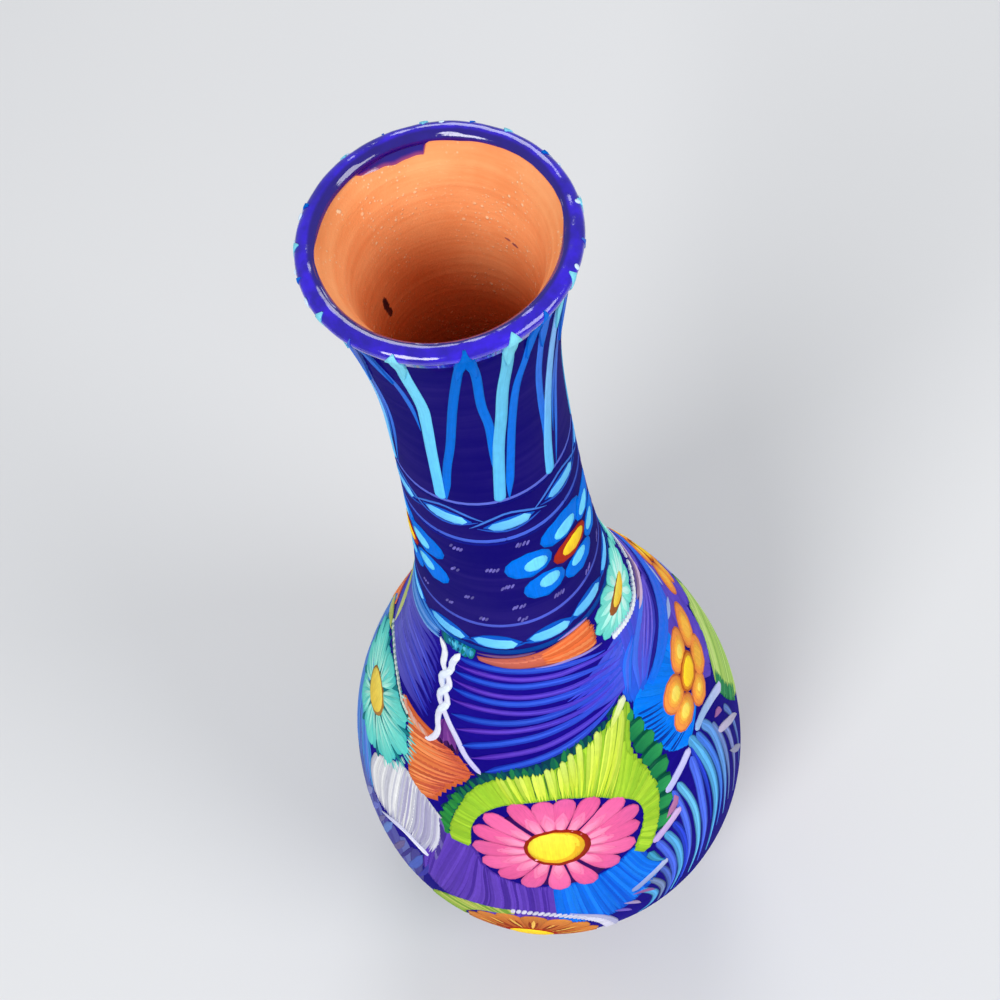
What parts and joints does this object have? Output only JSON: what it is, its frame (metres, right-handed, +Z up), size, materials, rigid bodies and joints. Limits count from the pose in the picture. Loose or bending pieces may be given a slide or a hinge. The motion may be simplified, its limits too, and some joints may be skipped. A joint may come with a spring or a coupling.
{
  "type": "painted earthenware vase",
  "caption": "Slender-necked round-bellied earthenware vase with a rolled lip, painted all over with folk flowers, open at the mouth to hold stems.",
  "frame": {"origin": "on the axis, in the plane the foot stands on", "axes": "+Z up along the vase's axis of turning; -Y faces the camera side of the picture, with the pink flower"},
  "size_m": [0.1096, 0.1096, 0.3018],
  "materials": {
    "bare_clay": "bare low-fired orange clay, wiped smooth, with pale grit",
    "body_paint": "gloss navy ground under brushed flowers, feathers and dashes",
    "lip_paint": "thick high-gloss cobalt blue"
  },
  "bodies": {
    "root": {"foot_coil": "bare_clay", "floor_slab": "bare_clay", "lower_belly": "bare_clay", "upper_belly": "bare_clay", "neck": "bare_clay", "lip_coil": "bare_clay", "belly_paint": "body_paint", "neck_paint": "body_paint", "lip_enamel": "lip_paint"}
  },
  "joints": []
}
